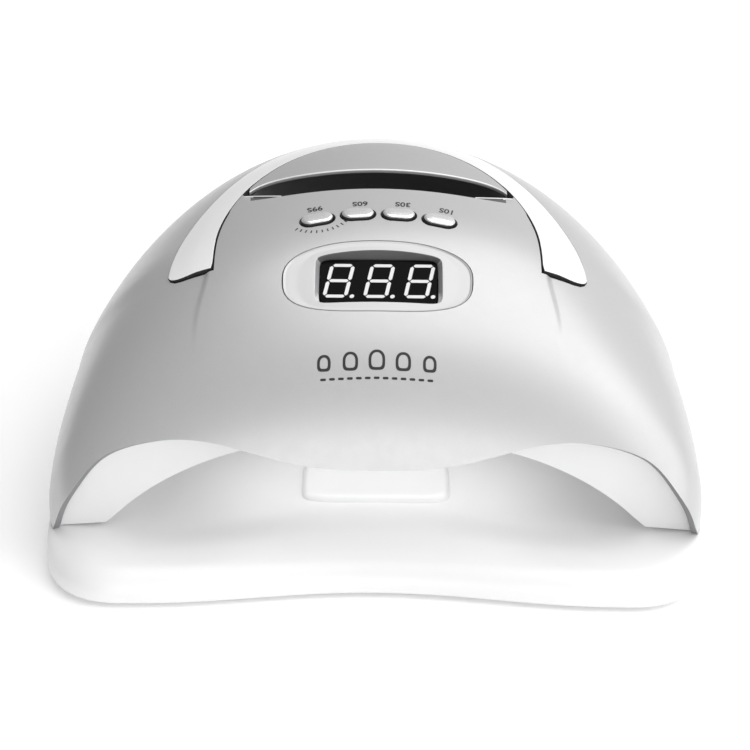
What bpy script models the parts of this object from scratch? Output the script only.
"""UV LED nail lamp: a domed hood with a hand opening at the front, on a lift-off base tray.

Metres, +Z up, the hand opening towards -Y. The origin is the middle of the footprint, on the ground.
"""

import math

import bmesh
import bpy
from mathutils import Matrix, Vector

# Hood: a dome over a round-backed plan.
HEIGHT = 0.100
HALF_WIDTH = 0.110
REAR_Y = 0.1025
TIP_Y = -0.0743  # front ends of the hood's foot
APEX_Y = -0.008  # where the dome is highest
FRONT_RUN = 0.0820  # apex to where the front slope would meet the foot
PLAN_POWER = 2.43
PLAN_ROUND = 1.8
REAR_POWER = 3.5
ARCH_POWER = 2.79
SPLIT_Z = 0.0123  # foot of the hood
SHELL_WALL = 0.0022
CHEEK_Y = -0.066  # ahead of here the hood's sides turn in
CHEEK_RUN = 0.010
CHEEK_IN = 0.02  # share of the width lost over that run
LIP_Y = -0.0847  # middle of the front lip
LIP_SWEEP = 0.0082  # how far the lip draws back beside the middle
LIP_SPREAD = 0.060
CHIN = 0.0034  # how far it comes forward again towards each side
CHIN_X = 0.1025
CHIN_SPREAD = 0.0085
LIP_CURL = 0.0037  # how far it draws back down to the foot
LIP_CURL_TOP = 0.0270

GAP = 0.0003
SIDE_GAP = 0.00035

# Base tray.
TRAY_TOP = 0.0120
TRAY_UNDER = 0.0012
TRAY_FLOOR = 0.0104
TRAY_FRONT_Y = -0.1025
TRAY_BAY = 0.0066  # how far the front edge draws back in the middle
TRAY_BAY_HALF = 0.080
TRAY_CENTRE_Y = -0.005
TRAY_HOLLOW_TOP = 0.0072
TRAY_HOLLOW_INSET = 0.021
CORNER_X = 0.025
CORNER_Y = 0.0270
FINGER_REST = (0.0510, 0.0240)
FINGER_REST_Y = -0.0440
FINGER_REST_TOP = 0.0124

# Lining: a low vault inside the hood, open at the front.
LINING_WALL = 0.0016
LINING_INSET = 0.0032
VAULT_FRONT_Y = -0.0730
VAULT_REAR_Y = 0.0780
VAULT_HALF = 0.0900
VAULT_RISE = 0.0360
VAULT_CENTRE_Y = -0.0050

# Trim band, finger slot and grip.
BAND_LEG_Y = -0.0270
BAND_END_Y = -0.0310
BAND_CORNER = 0.0022
BAND_OUTER = (0.0705, 0.0945, 2.0, 1.5)  # half width, run to the rear, powers across and along
BAND_INNER = (0.0554, 0.0750, 2.15, 2.15)
BAND_DROP = 0.0034
BAND_PROUD = 0.0005
SLOT_FRONT_Y = 0.00435
SLOT_BOW = 0.0040  # how far the slot's front edge draws back at its ends
SLOT_HALF = 0.0475
GRIP_FRONT_Y = 0.0190
GRIP_END_SET = 0.0046
GRIP_HALF = 0.0450
GRIP_DROP = 0.0016
WELL_HALF = 0.0475
WELL_FRONT_SET = 0.0012  # how far it runs in under the slot's front edge
WELL_BAND_SET = 0.0012  # and how far inside the trim band it stays
WELL_FLOOR = 0.0690
WELL_WALL = 0.0015
WELL_CORNER = 0.0012

# Display.
CAPSULE_HALF = 0.0313
CAPSULE_Y = -0.0407
CAPSULE_DEPTH = 0.0126  # half its size front to rear, in plan
DISH = 0.0006
WINDOW_HALF = 0.0197
WINDOW_DEPTH = 0.0094  # half its size front to rear, in plan
WINDOW_Y = -0.0407
WINDOW_Z = 0.0875
WINDOW_SLOPE = math.radians(20.5)
WINDOW_THICK = 0.0014
BEZEL_THICK = 0.0024
MODULE_SIZE = (0.0377, 0.0190, 0.0080)
DISPLAY_BOARD_SIZE = (0.0460, 0.0240, 0.0016)

# Buttons, from the lamp's left: their centres in plan, and how each leans on the arc.
BUTTONS = {
    "button_99s": (-0.0205, -0.0156, 8.0),
    "button_60s": (-0.0068, -0.0139, 2.5),
    "button_30s": (0.0070, -0.0139, -2.5),
    "button_10s": (0.0207, -0.0157, -9.0),
}
BUTTON_SIZE = (0.0112, 0.0064)
BUTTON_PROUD = 0.0012
BUTTON_STEM = 0.0050
BUTTON_FLANGE = 0.0009
BUTTON_BOARD_DROP = 0.0100
BUTTON_BOARD_SIZE = (0.0560, 0.0130, 0.0016)

# Magnets, screws and feet.
MAGNET_RADIUS = 0.0040
MAGNET_THICK = 0.0030
MAGNETS = ((0.0985, -0.0520), (-0.0985, -0.0520), (0.0835, 0.0250), (-0.0835, 0.0250))
SCREWS = ((0.0962, -0.0200), (-0.0962, -0.0200), (0.0625, 0.0580), (-0.0625, 0.0580))
SCREW_HEAD = 0.0026
SCREW_SHANK = 0.0012
SCREW_LENGTH = 0.0080
BOSS_RADIUS = 0.0034
BOSS_TOP = 0.0240
FEET = ((0.0925, -0.0850), (-0.0925, -0.0850), (0.0560, 0.0650), (-0.0560, 0.0650))
FOOT_RADIUS = 0.0060
FOOT_TOP = 0.0021

# LED boards: size, middle, how each turns and leans, and where its beads are.
BOARD_THICK = 0.0016
ROOF_BOARD = (0.092, 0.060)
ROOF_BOARD_SPOT = (0.0, -0.004, 0.0522)
ROOF_BEADS = ((-0.039, -0.013, 0.013, 0.039), (-0.022, 0.022))
SIDE_BOARD = (0.012, 0.074)
SIDE_BOARD_SPOT = (0.0835, -0.018, 0.0355)
SIDE_BOARD_TURN = math.radians(11)
SIDE_BOARD_LEAN = math.radians(50)
SIDE_BEADS = (-0.030, 0.0, 0.030)
REAR_BOARD = (0.058, 0.012)
REAR_BOARD_SPOT = (0.0, 0.0735, 0.0400)
REAR_BOARD_LEAN = math.radians(-48)
REAR_BEADS = (-0.022, 0.0, 0.022)
BEAD_RADIUS = 0.0026
BEAD_BASE = 0.0018
BEAD_HOLE = 0.0031
BEAD_PROUD = 0.0007

# Hand sensor, in the roof of the lining.
SENSOR_PLACE = (0.0, -0.052)
SENSOR_RADIUS = (0.0026, 0.0031)
SENSOR_HOLE = 0.0036
SENSOR_CAP = 0.0045

# Driver board and what stands on it.
DRIVER_BOARD = (0.0640, 0.0300)
DRIVER_SPOT = (0.0, 0.0640, 0.0560)
CAPACITOR_RADIUS = 0.0050
CAPACITOR_HEIGHT = 0.0130
CAPACITOR_PLACE = (-0.0200, 0.0600)
INDUCTOR_SIZE = (0.0120, 0.0120, 0.0070)
INDUCTOR_PLACE = (0.0140, 0.0620)

# DC inlet.
INLET_Z = 0.0270
INLET_NOSE = 0.0044
INLET_FACE_Y = 0.1016
INLET_BORE = 0.0029
INLET_PIN = 0.0010
INLET_BODY = (0.0100, 0.0090, 0.0100)

# Leads: the corners each one rounds.
LEAD_RADIUS = 0.0011
INLET_LEAD = (
    (0.0, 0.0868, INLET_Z),
    (0.0, 0.0845, INLET_Z),
    (0.0, 0.0822, 0.0320),
    (0.004, 0.0815, 0.0430),
    (0.008, 0.0770, 0.0538),
)
ROOF_LEAD = (
    (0.020, 0.0450, 0.0540),
    (0.020, 0.0405, 0.0560),
    (0.020, 0.0330, 0.0566),
    (0.020, 0.0260, 0.0549),
)

COLUMNS_SIDE = 14  # hood columns from the middle of the rear to a front end of the foot
COLUMNS_LIP = 10  # and from there to the middle of the lip
ROWS = 9


# ---------------------------------------------------------------- surfaces


def plan_width(y, inset=0.0):
    """Half width of the lamp's rounded plan at y."""
    run = max(0.0, min(1.0, (y - TIP_Y) / (REAR_Y - inset - TIP_Y)))
    return (HALF_WIDTH - inset) * (1.0 - run**PLAN_POWER) ** (1.0 / PLAN_ROUND)


def half_width(y, inset=0.0):
    """Half width of the hood's foot at y, with its front ends turned in."""
    ahead = max(0.0, (CHEEK_Y + inset / 2 - y) / CHEEK_RUN)
    return plan_width(y, inset) * (1.0 - CHEEK_IN * ahead * ahead)


def crown(y, inset=0.0):
    """Height of the dome's middle line over the hood's foot at y."""
    top = HEIGHT - SPLIT_Z - inset
    if y >= APEX_Y:
        run = min(1.0, (y - APEX_Y) / (REAR_Y - inset - APEX_Y))
        return top * math.sqrt(1.0 - run**REAR_POWER)
    run = min(1.0, (APEX_Y - y) / (FRONT_RUN - inset))
    return top * math.sqrt(1.0 - run * run)


def dome_z(x, y, inset=0.0):
    """Height of the dome at a place in plan."""
    half = half_width(y, inset)
    if abs(x) >= half:
        return SPLIT_Z
    return SPLIT_Z + crown(y, inset) * (1.0 - (x / half) ** 2) ** (1.0 / ARCH_POWER)


def in_dome(point, inset=0.0):
    x, y, z = point
    half = half_width(y, inset)
    rise = crown(y, inset)
    if half <= 1e-9 or rise <= 1e-9 or y <= APEX_Y - FRONT_RUN + inset:
        return False
    return (x / half) ** 2 + (max(0.0, z - SPLIT_Z) / rise) ** ARCH_POWER < 1.0


def dome_normal(x, y):
    step = 1e-4
    slope_x = (dome_z(x + step, y) - dome_z(x - step, y)) / (2 * step)
    slope_y = (dome_z(x, y + step) - dome_z(x, y - step)) / (2 * step)
    return Vector((-slope_x, -slope_y, 1.0)).normalized()


def lip_y(x, z=HEIGHT):
    """How far forward the hood's front edge comes at x, at height z."""
    spread = (abs(x) / LIP_SPREAD) ** 2.7
    sweep = LIP_SWEEP * spread / math.sqrt(1.0 + spread * spread)
    chin = CHIN * math.exp(-(((abs(x) - CHIN_X) / CHIN_SPREAD) ** 2))
    low = max(0.0, (LIP_CURL_TOP - z) / (LIP_CURL_TOP - SPLIT_Z))
    return LIP_Y + sweep - chin + LIP_CURL * low**3


def foot_end():
    """Right front end of the hood's foot, where its side meets the lip line."""
    front, back = LIP_Y, CHEEK_Y
    for _ in range(40):
        y = (front + back) / 2
        if y > lip_y(half_width(y), SPLIT_Z):
            back = y
        else:
            front = y
    return half_width(back), back


def in_vault(point):
    x, y, z = point
    run = (y - VAULT_FRONT_Y) / (VAULT_REAR_Y - VAULT_FRONT_Y)
    if run >= 1.0:
        return False
    run = max(0.0, run)
    half = VAULT_HALF * (1.0 - run**2.6) ** 0.5
    rise = VAULT_RISE * (1.0 - run**4) ** 0.5
    return (abs(x) / half) ** 2.5 + (max(0.0, z - SPLIT_Z) / rise) ** 1.15 < 1.0


def reach(start, direction, inside, far=0.25):
    """Point where a ray from inside leaves the body."""
    near = 0.0
    for _ in range(40):
        middle = (near + far) / 2
        if inside(start + direction * middle):
            near = middle
        else:
            far = middle
    return start + direction * near


def ray(turn, lift):
    """Direction at a turn from +Y towards +X, lifted from the level."""
    return Vector((math.cos(lift) * math.sin(turn), math.cos(lift) * math.cos(turn), math.sin(lift)))


def column_turns():
    """Turns of the hood's columns, all the way round, closest beside each front end of the foot."""
    end_x, end_y = foot_end()
    end_turn = math.atan2(end_x, end_y - APEX_Y)
    half = [end_turn * k / COLUMNS_SIDE for k in range(COLUMNS_SIDE)] + [end_turn]
    for k in range(1, COLUMNS_LIP):
        x = end_x * math.cos(math.pi / 2 * k / COLUMNS_LIP)
        half.append(math.atan2(x, lip_y(x) - APEX_Y))
    return half + [math.pi] + [-turn for turn in reversed(half[1:])]


def lowest_lift(turn, inside, front_line, centre):
    """Lift at which the surface meets the foot or the front line."""
    def clear(lift):
        spot = reach(centre, ray(turn, lift), inside)
        return spot.y > front_line(spot.x, spot.z)

    if clear(0.0):
        return 0.0
    low, high = 0.0, math.pi / 2
    for _ in range(30):
        middle = (low + high) / 2
        if clear(middle):
            high = middle
        else:
            low = middle
    return high


# ---------------------------------------------------------------- scene and mesh helpers


def clear_scene():
    for item in list(bpy.data.objects):
        bpy.data.objects.remove(item, do_unlink=True)


def new_collection(name):
    group = bpy.data.collections.new(name)
    bpy.context.scene.collection.children.link(group)
    return group


def material(name, colour, roughness, metallic=0.0):
    mat = bpy.data.materials.new(name)
    mat.use_nodes = True
    shader = mat.node_tree.nodes["Principled BSDF"]
    shader.inputs["Base Color"].default_value = (*colour, 1.0)
    shader.inputs["Roughness"].default_value = roughness
    shader.inputs["Metallic"].default_value = metallic
    return mat


def add_part(name, mesh, mat, smooth=True):
    part = bpy.data.objects.new(name, mesh)
    mesh.materials.clear()
    mesh.materials.append(mat)
    if smooth:
        mesh.shade_smooth()
        mesh.set_sharp_from_angle(angle=math.radians(35))
    parts.objects.link(part)
    return part


def add_cutter(name, mesh):
    tool = bpy.data.objects.new(name, mesh)
    tool.hide_render = True
    tool.display_type = "WIRE"
    cutters.objects.link(tool)
    return tool


def boolean(part, tool, operation="DIFFERENCE"):
    step = part.modifiers.new(tool.name, "BOOLEAN")
    step.object = tool
    step.operation = operation
    step.solver = "EXACT"


def bevel(part, width, segments=2, angle=40):
    step = part.modifiers.new("edges", "BEVEL")
    step.width = width
    step.segments = segments
    step.limit_method = "ANGLE"
    step.angle_limit = math.radians(angle)


def to_mesh(name, bm):
    bmesh.ops.recalc_face_normals(bm, faces=bm.faces)
    mesh = bpy.data.meshes.new(name)
    bm.to_mesh(mesh)
    bm.free()
    return mesh


def loft(name, rings, ends=True, around=False):
    """Closed rings joined one to the next; ends caps the first and last, around joins them."""
    bm = bmesh.new()
    loops = [[bm.verts.new(p) for p in ring] for ring in rings]
    pairs = list(zip(loops, loops[1:]))
    if around:
        pairs.append((loops[-1], loops[0]))
    for lower, upper in pairs:
        count = len(lower)
        for k in range(count):
            bm.faces.new((lower[k], lower[(k + 1) % count], upper[(k + 1) % count], upper[k]))
    if ends and not around:
        bm.faces.new(loops[0])
        bm.faces.new(loops[-1])
    return to_mesh(name, bm)


def dropped_sheet(name, rows, drop):
    """Open grid of points, given depth straight down."""
    bm = bmesh.new()
    grid = [[bm.verts.new(p) for p in row] for row in rows]
    for row, after in zip(grid, grid[1:]):
        for k in range(len(row) - 1):
            bm.faces.new((row[k], row[k + 1], after[k + 1], after[k]))
    made = bmesh.ops.extrude_face_region(bm, geom=list(bm.faces))
    lowered = [item for item in made["geom"] if isinstance(item, bmesh.types.BMVert)]
    bmesh.ops.translate(bm, vec=(0.0, 0.0, -drop), verts=lowered)
    return to_mesh(name, bm)


def outline_mesh(name, points, low, high):
    """Flat outline in plan, filled and given height from low to high."""
    curve = bpy.data.curves.new(name, "CURVE")
    curve.dimensions = "2D"
    curve.fill_mode = "BOTH"
    curve.extrude = (high - low) / 2
    spline = curve.splines.new("POLY")
    spline.points.add(len(points) - 1)
    for spot, (x, y) in zip(spline.points, points):
        spot.co = (x, y, 0.0, 1.0)
    spline.use_cyclic_u = True
    guide = bpy.data.objects.new(name + "_outline", curve)
    guide.location.z = (low + high) / 2
    cutters.objects.link(guide)
    bpy.context.view_layer.update()
    mesh = bpy.data.meshes.new_from_object(guide.evaluated_get(bpy.context.evaluated_depsgraph_get()))
    bm = bmesh.new()
    bm.from_mesh(mesh)
    bmesh.ops.remove_doubles(bm, verts=bm.verts, dist=1e-6)
    bmesh.ops.transform(bm, matrix=guide.matrix_world, verts=bm.verts)
    bpy.data.objects.remove(guide, do_unlink=True)
    bpy.data.meshes.remove(mesh)
    return to_mesh(name, bm)


def box_mesh(name, size, centre=(0.0, 0.0, 0.0)):
    bm = bmesh.new()
    bmesh.ops.create_cube(bm, size=1.0)
    bmesh.ops.scale(bm, vec=size, verts=bm.verts)
    bmesh.ops.translate(bm, vec=centre, verts=bm.verts)
    return to_mesh(name, bm)


def rod_mesh(name, low_radius, high_radius, low, high, sides=20, centre=(0.0, 0.0)):
    """Round bar or cone standing from low to high."""
    bm = bmesh.new()
    bmesh.ops.create_cone(
        bm, cap_ends=True, segments=sides, radius1=low_radius, radius2=high_radius, depth=high - low
    )
    bmesh.ops.translate(bm, vec=(centre[0], centre[1], (low + high) / 2), verts=bm.verts)
    return to_mesh(name, bm)


def pill(length, width, turn=0.0, arc=8):
    """Outline of a slot with round ends, lying along X."""
    radius = width / 2
    reach_x = length / 2 - radius
    points = []
    for side in (1, -1):
        for k in range(arc + 1):
            angle = math.pi * k / arc - math.pi / 2
            points.append((side * (reach_x + radius * math.cos(angle)), side * radius * math.sin(angle)))
    cos, sin = math.cos(turn), math.sin(turn)
    return [(x * cos - y * sin, x * sin + y * cos) for x, y in points]


def rounded_box(half_x, half_y, power, count):
    """Outline between an oval and a rectangle."""
    points = []
    for k in range(count):
        angle = 2 * math.pi * k / count
        cos, sin = math.cos(angle), math.sin(angle)
        scale = (abs(cos / half_x) ** power + abs(sin / half_y) ** power) ** (-1.0 / power)
        points.append((scale * cos, scale * sin))
    return points


def arch(shape, turn):
    """Point on a trim edge: turn runs from 0 at its right leg to pi at its left one."""
    half, run, across, along = shape
    cos, sin = math.cos(turn), math.sin(turn)
    x = half * math.copysign(abs(cos) ** (2 / across), cos)
    y = BAND_LEG_Y + run * abs(sin) ** (2 / along)
    return x, y


def grown(shape, by):
    """The same trim edge, wider and longer by a gap."""
    half, run, across, along = shape
    return half + by, run + by, across, along


def arch_y(shape, x):
    """How far to the rear a trim edge is at x."""
    half, run, across, along = shape
    return BAND_LEG_Y + run * (1.0 - min(1.0, abs(x) / half) ** across) ** (1.0 / along)


def smooth_step(value):
    value = max(0.0, min(1.0, value))
    return value * value * (3 - 2 * value)


# ---------------------------------------------------------------- base tray


def tray_outline():
    """Right half from the middle of the rear to the middle of the front, then mirrored."""
    half = []
    tip_turn = math.atan2(HALF_WIDTH, TIP_Y - TRAY_CENTRE_Y)
    for k in range(14):
        direction = ray(tip_turn * k / 13, 0.0)
        start = Vector((0.0, TRAY_CENTRE_Y, 0.0))
        spot = reach(start, direction, lambda p: p.y < REAR_Y and abs(p.x) < plan_width(p.y))
        half.append((spot.x, spot.y))
    corner_y = TRAY_FRONT_Y + CORNER_Y
    for k in range(1, 7):
        angle = math.pi / 2 * k / 6
        x = HALF_WIDTH - CORNER_X + CORNER_X * math.cos(angle) ** 0.9
        half.append((x, corner_y - CORNER_Y * math.sin(angle) ** 0.9))
    edge = HALF_WIDTH - CORNER_X
    for k in range(1, 7):
        x = edge * (1 - k / 6)
        bay = math.cos(math.pi / 2 * min(1.0, x / TRAY_BAY_HALF)) ** 2
        half.append((x, TRAY_FRONT_Y + TRAY_BAY * bay))
    return half + [(-x, y) for x, y in reversed(half[1:-1])]


def inset_ring(outline, inset, height):
    """The tray outline drawn in towards the middle; inset and height may depend on the point."""
    ring = []
    for x, y in outline:
        out = Vector((x, y - TRAY_CENTRE_Y))
        depth = inset(y) if callable(inset) else inset
        spot = out * (1 - depth / out.length)
        level = height(y) if callable(height) else height
        ring.append((spot.x, spot.y + TRAY_CENTRE_Y, level))
    return ring


def front_share(y):
    """0 beside the hood, 1 along the tray's rounded front."""
    return smooth_step((-0.070 - y) / 0.024)


def build_tray():
    outline = tray_outline()
    rings = [
        inset_ring(outline, 0.0020, TRAY_UNDER),
        inset_ring(outline, 0.0006, TRAY_UNDER + 0.0006),
        inset_ring(outline, 0.0, TRAY_UNDER + 0.0020),
    ]
    for k in range(5):
        angle = math.pi / 2 * k / 4
        rings.append(
            inset_ring(
                outline,
                lambda y: (0.0006 + 0.0104 * front_share(y)) * (1 - math.cos(angle)),
                lambda y: TRAY_TOP - (0.0006 + 0.0072 * front_share(y)) * (1 - math.sin(angle)),
            )
        )
    rings.append(inset_ring(outline, 0.0200, TRAY_TOP))
    rings.append(inset_ring(outline, 0.0260, (TRAY_TOP + TRAY_FLOOR) / 2))
    rings.append(inset_ring(outline, 0.0330, TRAY_FLOOR))
    tray = add_part("base_tray", loft("base_tray", rings), WHITE)

    hollow = [
        inset_ring(outline, TRAY_HOLLOW_INSET, -0.002),
        inset_ring(outline, TRAY_HOLLOW_INSET + 0.001, TRAY_HOLLOW_TOP),
    ]
    boolean(tray, add_cutter("tray_hollow", loft("tray_hollow", hollow)))

    rest_outline = [(x, y + FINGER_REST_Y) for x, y in rounded_box(*(s / 2 for s in FINGER_REST), 7, 36)]
    rest = add_cutter("finger_rest", outline_mesh("finger_rest", rest_outline, 0.0090, FINGER_REST_TOP))
    bevel(rest, 0.0012, 2)
    boolean(tray, rest, "UNION")

    for k, (x, y) in enumerate(FEET, 1):
        wide = FOOT_RADIUS + 0.0004
        pocket = rod_mesh("foot_pocket", wide, wide, -0.001, FOOT_TOP + GAP, 20, (x, y))
        boolean(tray, add_cutter(f"foot_pocket_{k}", pocket))
        pad = rod_mesh("foot", FOOT_RADIUS, FOOT_RADIUS, 0.0, FOOT_TOP, 20)
        foot = add_part(f"tray_foot_{k}", pad, RUBBER)
        foot.location = (x, y, 0.0)
        bevel(foot, 0.0004, 1)
    for k, (x, y) in enumerate(MAGNETS, 1):
        low = TRAY_TOP - MAGNET_THICK - GAP
        wide = MAGNET_RADIUS + GAP
        pocket = rod_mesh("magnet_pocket", wide, wide, low - GAP, TRAY_TOP + 0.002, 20, (x, y))
        boolean(tray, add_cutter(f"magnet_pocket_{k}", pocket))
        magnet = rod_mesh("magnet", MAGNET_RADIUS, MAGNET_RADIUS, 0.0, MAGNET_THICK, 20)
        add_part(f"tray_magnet_{k}", magnet, METAL).location = (x, y, low)


# ---------------------------------------------------------------- hood


def build_shell():
    centre = Vector((0.0, APEX_Y, SPLIT_Z))
    bm = bmesh.new()
    top = bm.verts.new((0.0, APEX_Y, HEIGHT))
    columns = []
    for turn in column_turns():
        low = lowest_lift(turn, in_dome, lip_y, centre)
        column = []
        for row in range(1, ROWS + 1):
            lift = math.pi / 2 + (low - math.pi / 2) * row / ROWS
            column.append(bm.verts.new(reach(centre, ray(turn, lift), in_dome)))
        columns.append(column)
    for column, after in zip(columns, columns[1:] + columns[:1]):
        bm.faces.new((top, column[0], after[0]))
        for row in range(ROWS - 1):
            bm.faces.new((column[row], column[row + 1], after[row + 1], after[row]))
    shell = add_part("upper_shell", to_mesh("upper_shell", bm), SILVER)
    wall = shell.modifiers.new("wall", "SOLIDIFY")
    wall.thickness = SHELL_WALL
    wall.offset = -1.0
    wall.use_even_offset = True

    boolean(shell, foot_plane())
    boolean(shell, add_cutter("crown_opening", outline_mesh("crown_opening", crown_opening(), 0.05, 0.12)))
    capsule = [(x, y + CAPSULE_Y) for x, y in capsule_outline(SIDE_GAP)]
    boolean(shell, add_cutter("capsule_opening", outline_mesh("capsule_opening", capsule, 0.06, 0.12)))
    for name, (x, y, lean) in BUTTONS.items():
        size = [side + 2 * GAP for side in BUTTON_SIZE]
        hole = outline_mesh(name + "_hole", pill(*size), -0.012, 0.012)
        tool = add_cutter(name + "_hole", hole)
        tool.matrix_world = button_frame(x, y, lean)
        boolean(shell, tool)
    nose = rod_mesh("inlet_hole", INLET_NOSE + SIDE_GAP, INLET_NOSE + SIDE_GAP, -0.008, 0.008, 24)
    inlet_hole = add_cutter("inlet_hole", nose)
    inlet_hole.matrix_world = Matrix.Translation((0, REAR_Y, INLET_Z)) @ Matrix.Rotation(math.pi / 2, 4, "X")
    boolean(shell, inlet_hole)
    for k, (x, y) in enumerate(SCREWS, 1):
        build_boss(shell, k, x, y)


def foot_plane():
    """Block that trims the hood's pieces level at its foot."""
    block = cutters.objects.get("foot_plane")
    if block is None:
        size = (3 * HALF_WIDTH, 3 * HALF_WIDTH, 0.03)
        block = add_cutter("foot_plane", box_mesh("foot_plane", size, (0.0, 0.0, SPLIT_Z - 0.015)))
    return block


def build_boss(shell, number, x, y):
    """Screw boss on a rib from the shell's wall."""
    low = SPLIT_Z + LINING_WALL + GAP
    boss = rod_mesh("boss", BOSS_RADIUS, BOSS_RADIUS, low, BOSS_TOP, 16, (x, y))
    boolean(shell, add_cutter(f"boss_{number}", boss), "UNION")
    out = Vector((x, y * 1.25, 0.0)).normalized()
    foot = Vector((x, y, BOSS_TOP))
    wall = reach(foot, out, lambda p: in_dome(p, SHELL_WALL * 0.5))
    length = (wall - foot).length
    rib = add_cutter(f"rib_{number}", box_mesh("rib", (length, 0.0020, BOSS_TOP - low - 0.001)))
    middle = (foot + wall) / 2
    rib.location = (middle.x, middle.y, (BOSS_TOP + low) / 2)
    rib.rotation_euler.z = math.atan2(out.y, out.x)
    boolean(shell, rib, "UNION")
    bore = rod_mesh("bore", SCREW_SHANK + GAP, SCREW_SHANK + GAP, low - 0.002, low + SCREW_LENGTH, 12, (x, y))
    boolean(shell, add_cutter(f"bore_{number}", bore))


def crown_opening():
    """Outline of the hole in the shell for the trim band, the grip and the slot."""
    wide = grown(BAND_OUTER, SIDE_GAP)
    narrow = grown(BAND_INNER, -SIDE_GAP)
    points = [(wide[0], BAND_END_Y - SIDE_GAP)]
    points += [arch(wide, math.pi * k / 48) for k in range(49)]
    points += [(-wide[0], BAND_END_Y - SIDE_GAP), (-narrow[0], BAND_END_Y - SIDE_GAP)]
    inner = [(-narrow[0], BAND_LEG_Y)]
    steps = 8
    for k in range(1, steps + 1):
        x = -narrow[0] + (narrow[0] - SLOT_HALF) * k / steps
        inner.append((x, arch_y(narrow, x)))
    slot = []
    for k in range(1, 16):
        x = -SLOT_HALF + 2 * SLOT_HALF * k / 16
        slot.append((x, slot_front(x)))
    points += inner + slot
    points += [(-x, y) for x, y in reversed(inner)]
    points += [(narrow[0], BAND_END_Y - SIDE_GAP)]
    return points


def slot_front(x):
    return SLOT_FRONT_Y + SLOT_BOW * (abs(x) / SLOT_HALF) ** 6


def grip_front(x):
    return GRIP_FRONT_Y - GRIP_END_SET * (abs(x) / GRIP_HALF) ** 12


def capsule_outline(grow=0.0, count=48):
    """Long soft oval, fuller towards its front corners."""
    rear = rounded_box(CAPSULE_HALF + grow, CAPSULE_DEPTH + grow, 2.4, count)
    front = rounded_box(CAPSULE_HALF + grow, CAPSULE_DEPTH + grow, 3.2, count)
    return rear[: count // 2 + 1] + front[count // 2 + 1 :]


def build_lining():
    centre = Vector((0.0, VAULT_CENTRE_Y, SPLIT_Z))
    inset_dome = lambda p: in_dome(p, LINING_INSET)
    tip_x = half_width(VAULT_FRONT_Y, LINING_INSET)
    tip_turn = math.atan2(tip_x, VAULT_FRONT_Y - VAULT_CENTRE_Y)
    inner_turn = math.atan2(VAULT_HALF, VAULT_FRONT_Y - VAULT_CENTRE_Y)
    bm = bmesh.new()
    crest = bm.verts.new(reach(centre, Vector((0.0, 0.0, 1.0)), in_vault))
    columns = []
    sides, lip, rows = 13, 8, 6

    def turns(corner):
        half = [corner * k / sides for k in range(sides)]
        half += [corner + (math.pi - corner) * k / lip for k in range(lip)]
        return half + [math.pi] + [-turn for turn in reversed(half[1:])]

    front = lambda x, z: VAULT_FRONT_Y
    for outer_turn, turn in zip(turns(tip_turn), turns(inner_turn)):
        low = lowest_lift(turn, in_vault, front, centre)
        column = []
        for row in range(1, rows + 1):
            lift = math.pi / 2 + (low - math.pi / 2) * row / rows
            column.append(reach(centre, ray(turn, lift), in_vault))
        outer_low = lowest_lift(outer_turn, inset_dome, front, centre)
        rim = reach(centre, ray(outer_turn, outer_low), inset_dome)
        column.append(rim)
        columns.append([bm.verts.new(p) for p in column])
    for column, after in zip(columns, columns[1:] + columns[:1]):
        bm.faces.new((crest, column[0], after[0]))
        for row in range(rows):
            bm.faces.new((column[row], column[row + 1], after[row + 1], after[row]))
    mesh = bpy.data.meshes.new("inner_lining")
    bm.to_mesh(mesh)
    bm.free()
    lining = add_part("inner_lining", mesh, WHITE)
    wall = lining.modifiers.new("wall", "SOLIDIFY")
    wall.thickness = LINING_WALL
    wall.offset = -1.0
    wall.use_even_offset = True
    boolean(lining, foot_plane())
    for k, (x, y) in enumerate(SCREWS, 1):
        slack = 2 * GAP
        low = SPLIT_Z - GAP
        head = rod_mesh("seat", SCREW_HEAD + slack, SCREW_SHANK + slack, low, low + LINING_WALL, 16, (x, y))
        boolean(lining, add_cutter(f"screw_seat_{k}", head))
        wide = SCREW_SHANK + SIDE_GAP
        way = rod_mesh("way", wide, wide, low - 0.001, low + 0.003, 12, (x, y))
        boolean(lining, add_cutter(f"screw_way_{k}", way))
    return lining


def build_screws_and_magnets():
    low = SPLIT_Z + 0.0002
    for k, (x, y) in enumerate(SCREWS, 1):
        head = rod_mesh("screw", SCREW_HEAD, SCREW_SHANK, 0.0, 0.0014, 16)
        screw = add_part(f"lining_screw_{k}", head, METAL)
        shank = rod_mesh("shank", SCREW_SHANK, SCREW_SHANK, 0.0007, SCREW_LENGTH, 16)
        tool = add_cutter(f"screw_shank_{k}", shank)
        tool.location = screw.location = (x, y, low)
        boolean(screw, tool, "UNION")
        slot = add_cutter(f"screw_slot_{k}", box_mesh("slot", (0.0036, 0.0007, 0.0012)))
        slot.location = (x, y, low)
        boolean(screw, slot)
    for k, (x, y) in enumerate(MAGNETS, 1):
        magnet = rod_mesh("magnet", MAGNET_RADIUS, MAGNET_RADIUS, 0.0, MAGNET_THICK, 20)
        add_part(f"hood_magnet_{k}", magnet, METAL).location = (x, y, SPLIT_Z + LINING_WALL + GAP)


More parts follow.
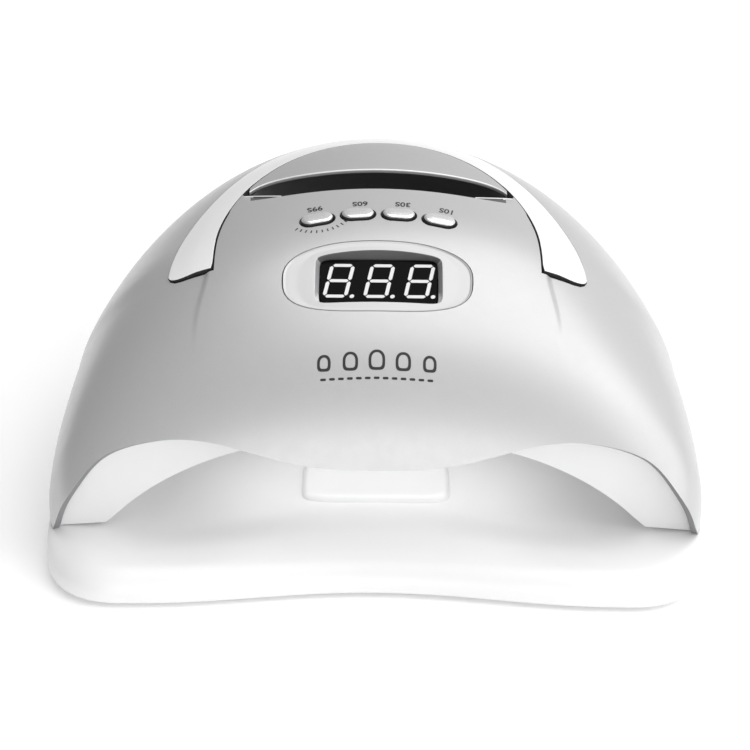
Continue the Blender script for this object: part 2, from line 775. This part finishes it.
def build_band():
    rows = []
    across = 3
    stations = [(None, 0)] + [(math.pi * k / 36, 0) for k in range(37)] + [(None, 1)]
    for turn, left in stations:
        row = []
        for k in range(across + 1):
            share = k / across
            if turn is None:
                side = -1 if left else 1
                outer = (side * (BAND_OUTER[0] - BAND_CORNER), BAND_END_Y)
                inner = (side * BAND_INNER[0], BAND_END_Y)
            else:
                outer = arch(BAND_OUTER, turn)
                inner = arch(BAND_INNER, turn)
            x = outer[0] + (inner[0] - outer[0]) * share
            y = outer[1] + (inner[1] - outer[1]) * share
            low_end = smooth_step((0.030 - y) / 0.050)
            row.append((x, y, dome_z(x, y) + BAND_PROUD * low_end * smooth_step(share * 1.6)))
        rows.append(row)
    add_part("trim_band", dropped_sheet("trim_band", rows, BAND_DROP), WHITE)


def build_grip():
    narrow = grown(BAND_INNER, -2 * SIDE_GAP)
    rows = []
    for k in range(17):
        x = GRIP_HALF * (2 * k / 16 - 1)
        row = []
        for j in range(5):
            y = grip_front(x) + (arch_y(narrow, x) - grip_front(x)) * j / 4
            row.append((x, y, dome_z(x, y)))
        rows.append(row)
    add_part("handle_grip", dropped_sheet("handle_grip", rows, GRIP_DROP), SILVER)


def well_ring(inset, height):
    """Ring round the finger well: along the slot at the front, just inside the trim band at the rear."""
    line = grown(BAND_INNER, -WELL_BAND_SET - inset)
    half = WELL_HALF - inset
    first = math.acos((half / line[0]) ** (line[2] / 2))
    ring = []
    for k in range(17):
        x = half * (2 * k / 16 - 1)
        ring.append((x, slot_front(x) - WELL_FRONT_SET + inset))
    for k in range(17):
        ring.append(arch(line, first + (math.pi - 2 * first) * k / 16))
    return [(x, y, height(x, y) if callable(height) else height) for x, y in ring]


def well_top(x, y):
    """Top of the finger well's wall: under the shell at the front, close under the grip at the rear."""
    under_shell = SHELL_WALL + 3 * GAP
    under_grip = GRIP_DROP + GAP
    share = smooth_step((y - 0.012) / 0.006)
    return dome_z(x, y) - under_shell - (under_grip - under_shell) * share


def build_well():
    floor = WELL_FLOOR + WELL_WALL
    rings = [
        well_ring(2 * WELL_WALL, floor),
        well_ring(WELL_WALL + 0.0006, floor),
        well_ring(WELL_WALL, well_top),
        well_ring(0.0, well_top),
        well_ring(0.0, WELL_FLOOR + WELL_CORNER),
        well_ring(WELL_CORNER, WELL_FLOOR),
    ]
    add_part("handle_well", loft("handle_well", rings), BLACK)


# ---------------------------------------------------------------- display


def display_frame(drop=0.0):
    """Frame on the display's face, its Z along the face's normal."""
    tilt = Matrix.Rotation(WINDOW_SLOPE, 4, "X")
    return Matrix.Translation((0.0, WINDOW_Y, WINDOW_Z)) @ tilt @ Matrix.Translation((0.0, 0.0, -drop))


def face_z(y, drop=0.0):
    """Height of the plane parallel to the display's face, drop below it."""
    return WINDOW_Z + (y - WINDOW_Y) * math.tan(WINDOW_SLOPE) - drop / math.cos(WINDOW_SLOPE)


def build_bezel():
    count = 48
    outer = [(x, y + CAPSULE_Y) for x, y in capsule_outline(0.0, count)]
    inner = [(x, y + WINDOW_Y) for x, y in rounded_box(WINDOW_HALF, WINDOW_DEPTH, 9, count)]
    top = []
    for share in (0.0, 0.12, 0.45, 1.0):
        ring = []
        for (ox, oy), (ix, iy) in zip(outer, inner):
            x = ox + (ix - ox) * share
            y = oy + (iy - oy) * share
            ring.append((x, y, dome_z(x, y) - DISH * smooth_step(share * 2.2)))
        top.append(ring)
    under_inner = [(x, y, face_z(y, BEZEL_THICK)) for x, y in inner]
    under_outer = [(x, y, min(face_z(y, BEZEL_THICK), dome_z(x, y) - 0.0012)) for x, y in outer]
    add_part("display_bezel", loft("display_bezel", top + [under_inner, under_outer], around=True), PALE)


def build_display():
    lean = WINDOW_THICK * math.sin(WINDOW_SLOPE) / 2
    outline = rounded_box(WINDOW_HALF - GAP, (WINDOW_DEPTH - GAP - lean) / math.cos(WINDOW_SLOPE), 9, 40)
    outline = [(x, y - lean) for x, y in outline]
    window = add_part("display_window", outline_mesh("display_window", outline, -WINDOW_THICK, 0.0), BLACK)
    window.matrix_world = display_frame()
    drop = BEZEL_THICK + GAP
    module = add_part("display_module", box_mesh("display_module", MODULE_SIZE), BLACK)
    module.matrix_world = display_frame(drop + MODULE_SIZE[2] / 2)
    drop += MODULE_SIZE[2] + GAP
    board = add_part("display_board", box_mesh("display_board", DISPLAY_BOARD_SIZE), BOARD_GREEN)
    board.matrix_world = display_frame(drop + DISPLAY_BOARD_SIZE[2] / 2)


# ---------------------------------------------------------------- buttons


def button_frame(x, y, lean):
    """Frame on the hood at a button, its Z along the hood's normal and its X along the button."""
    up = dome_normal(x, y)
    along = Vector((math.cos(math.radians(lean)), math.sin(math.radians(lean)), 0.0))
    along = (along - up * along.dot(up)).normalized()
    side = up.cross(along)
    frame = Matrix((along, side, up)).transposed().to_4x4()
    frame.translation = (x, y, dome_z(x, y))
    return frame


def button_board_frame(drop=0.0):
    """Frame of the button board, level across and leaning with the hood in the middle."""
    y = sum(place[1] for place in BUTTONS.values()) / len(BUTTONS)
    up = dome_normal(0.0, y)
    lean = Matrix.Rotation(math.atan2(-up.y, up.z), 4, "X")
    return Matrix.Translation((0.0, y, dome_z(0.0, y))) @ lean @ Matrix.Translation((0.0, 0.0, -drop))


def build_buttons():
    for name, (x, y, lean) in BUTTONS.items():
        cap = outline_mesh(name, pill(*BUTTON_SIZE), -BUTTON_STEM, BUTTON_PROUD)
        button = add_part(name, cap, CHROME)
        button.matrix_world = button_frame(x, y, lean)
        bevel(button, 0.0006, 2)
        top = -SHELL_WALL - 0.0005
        size = [side + 0.0016 for side in BUTTON_SIZE]
        rim = outline_mesh(name + "_flange", pill(*size), top - BUTTON_FLANGE, top)
        flange = add_cutter(name + "_flange", rim)
        flange.matrix_world = button.matrix_world
        boolean(button, flange, "UNION")
    board = add_part("button_board", box_mesh("button_board", BUTTON_BOARD_SIZE), BOARD_GREEN)
    board.matrix_world = button_board_frame(BUTTON_BOARD_DROP + BUTTON_BOARD_SIZE[2] / 2)
    for k, (x, _, _) in enumerate(BUTTONS.values(), 1):
        body = add_part(f"tact_switch_{k}", box_mesh("tact", (0.0060, 0.0060, 0.0018)), BLACK)
        knob = add_cutter(f"tact_knob_{k}", rod_mesh("knob", 0.0017, 0.0017, -0.0005, 0.0015, 14))
        place = button_board_frame(BUTTON_BOARD_DROP - GAP - 0.0009) @ Matrix.Translation((x, 0.0, 0.0))
        body.matrix_world = place
        knob.matrix_world = place
        boolean(body, knob, "UNION")


# ---------------------------------------------------------------- electronics


def led_places():
    """Each LED board: its frame (beads point along -Z), its size, and the beads on it."""
    def side_frame(side):
        spot = (side * SIDE_BOARD_SPOT[0], *SIDE_BOARD_SPOT[1:])
        turn = Matrix.Rotation(side * SIDE_BOARD_TURN, 4, "Z")
        return Matrix.Translation(spot) @ turn @ Matrix.Rotation(side * SIDE_BOARD_LEAN, 4, "Y")

    roof = [(x, y) for y in ROOF_BEADS[1] for x in ROOF_BEADS[0]]
    row = [(0.0, y) for y in SIDE_BEADS]
    rear = [(x, 0.0) for x in REAR_BEADS]
    rear_frame = Matrix.Translation(REAR_BOARD_SPOT) @ Matrix.Rotation(REAR_BOARD_LEAN, 4, "X")
    return {
        "led_board_roof": (Matrix.Translation(ROOF_BOARD_SPOT), ROOF_BOARD, roof),
        "led_board_right": (side_frame(1), SIDE_BOARD, row),
        "led_board_left": (side_frame(-1), SIDE_BOARD, row),
        "led_board_rear": (rear_frame, REAR_BOARD, rear),
    }


def build_leds(lining):
    for name, (place, size, beads) in led_places().items():
        board = add_part(name, box_mesh(name, (*size, BOARD_THICK)), WHITE_BOARD)
        board.matrix_world = place
        down = -(place.to_3x3() @ Vector((0.0, 0.0, 1.0)))
        for k, (x, y) in enumerate(beads, 1):
            start = place @ Vector((x, y, 0.0))
            length = depth_to_vault(start, down) + BEAD_PROUD
            lens = rod_mesh("bead", BEAD_BASE, BEAD_RADIUS, -length, 0.0, 12)
            bead = add_cutter(f"{name}_bead_{k}", lens)
            bead.matrix_world = place @ Matrix.Translation((x, y, 0.0))
            boolean(board, bead, "UNION")
            way = rod_mesh("hole", BEAD_HOLE, BEAD_HOLE, -length - 0.006, 0.0, 12)
            hole = add_cutter(f"{name}_hole_{k}", way)
            hole.matrix_world = bead.matrix_world
            boolean(lining, hole)


def depth_to_vault(start, direction):
    """How far a bead goes from its board to the inside face of the lining."""
    depth = 0.0
    while depth < 0.030 and not in_vault(start + direction * depth):
        depth += 0.0001
    return depth


def build_sensor(lining):
    """Hand sensor: a small dark dome through the lining's roof near the front."""
    x, y = SENSOR_PLACE
    roof = reach(Vector((x, y, SPLIT_Z)), Vector((0.0, 0.0, 1.0)), in_vault)
    hole = rod_mesh("sensor_hole", SENSOR_HOLE, SENSOR_HOLE, roof.z - 0.005, roof.z + 0.006, 16, (x, y))
    boolean(lining, add_cutter("sensor_hole", hole))
    sensor = add_part("hand_sensor", rod_mesh("hand_sensor", *SENSOR_RADIUS, -0.0005, 0.0040, 16), BLACK)
    sensor.location = (x, y, roof.z)
    rim = LINING_WALL + 0.0016
    cap = add_cutter("sensor_cap", rod_mesh("sensor_cap", SENSOR_CAP, SENSOR_CAP, rim, rim + 0.0028, 16))
    cap.location = sensor.location
    boolean(sensor, cap, "UNION")


def build_driver():
    board = add_part("driver_board", box_mesh("driver_board", (*DRIVER_BOARD, BOARD_THICK)), BOARD_GREEN)
    board.location = DRIVER_SPOT
    low = DRIVER_SPOT[2] + BOARD_THICK / 2 + GAP
    can_mesh = rod_mesh("can", CAPACITOR_RADIUS, CAPACITOR_RADIUS, 0.0, CAPACITOR_HEIGHT)
    can = add_part("driver_capacitor", can_mesh, BLACK)
    can.location = (*CAPACITOR_PLACE, low)
    bevel(can, 0.0006, 1)
    coil_mesh = box_mesh("coil", INDUCTOR_SIZE, (0.0, 0.0, INDUCTOR_SIZE[2] / 2))
    coil = add_part("driver_inductor", coil_mesh, BLACK)
    coil.location = (*INDUCTOR_PLACE, low)
    bevel(coil, 0.0014, 1)


def build_inlet():
    """Barrel inlet: a body behind the wall with a round nose through it, a bore, and a centre pin."""
    back = -0.001 - INLET_BODY[1] / 2
    body = add_part("dc_inlet", box_mesh("dc_inlet", INLET_BODY, (0.0, back, 0.0)), BLACK)
    nose_long = 0.0044
    body.location = (0.0, INLET_FACE_Y - nose_long, INLET_Z)
    nose = rod_mesh("inlet_nose", INLET_NOSE, INLET_NOSE, -0.0030, nose_long, 24)
    bore = rod_mesh("inlet_bore", INLET_BORE, INLET_BORE, -0.0060, nose_long + 0.0016, 20)
    pin = rod_mesh("inlet_pin", INLET_PIN, INLET_PIN, -0.0075, nose_long - 0.001, 12)
    for tool_mesh, operation in ((nose, "UNION"), (bore, "DIFFERENCE"), (pin, "UNION")):
        tool = add_cutter(tool_mesh.name, tool_mesh)
        tool.matrix_world = Matrix.Translation(body.location) @ Matrix.Rotation(-math.pi / 2, 4, "X")
        boolean(body, tool, operation)


def build_lead(name, points):
    """Insulated lead through the given points."""
    curve = bpy.data.curves.new(name, "CURVE")
    curve.dimensions = "3D"
    curve.bevel_depth = LEAD_RADIUS
    curve.bevel_resolution = 2
    curve.use_fill_caps = True
    spline = curve.splines.new("POLY")
    spline.points.add(len(points) - 1)
    for spot, place in zip(spline.points, points):
        spot.co = (*place, 1.0)
    lead = bpy.data.objects.new(name, curve)
    curve.materials.append(BLACK)
    parts.objects.link(lead)


def swept_points(corners, steps=4):
    """Smooth line through the corners (Catmull-Rom)."""
    ends = [2 * Vector(corners[0]) - Vector(corners[1])]
    ends += [Vector(c) for c in corners]
    ends += [2 * Vector(corners[-1]) - Vector(corners[-2])]
    points = []
    for a, b, c, d in zip(ends, ends[1:], ends[2:], ends[3:]):
        for k in range(steps):
            t = k / steps
            bend = (2 * a - 5 * b + 4 * c - d) * t**2 + (3 * b - a - 3 * c + d) * t**3
            points.append(b + 0.5 * ((c - a) * t + bend))
    return points + [ends[-2]]


def build_leads():
    build_lead("inlet_lead", swept_points(INLET_LEAD))
    build_lead("led_lead", swept_points(ROOF_LEAD))


clear_scene()
parts = new_collection("nail_lamp")
cutters = new_collection("cutters")
SILVER = material("silver_plastic", (0.62, 0.62, 0.63), 0.32)
WHITE = material("white_plastic", (0.90, 0.90, 0.90), 0.35)
PALE = material("bezel_plastic", (0.78, 0.78, 0.79), 0.30)
BLACK = material("black_plastic", (0.02, 0.02, 0.02), 0.30)
CHROME = material("button_metal", (0.80, 0.80, 0.82), 0.18, 1.0)
METAL = material("plated_steel", (0.60, 0.60, 0.62), 0.30, 1.0)
RUBBER = material("grey_rubber", (0.12, 0.12, 0.12), 0.80)
BOARD_GREEN = material("green_board", (0.03, 0.16, 0.06), 0.50)
WHITE_BOARD = material("white_board", (0.85, 0.85, 0.85), 0.50)

build_tray()
build_shell()
hood_lining = build_lining()
build_screws_and_magnets()
build_band()
build_grip()
build_well()
build_bezel()
build_display()
build_buttons()
build_leds(hood_lining)
build_sensor(hood_lining)
build_driver()
build_inlet()
build_leads()
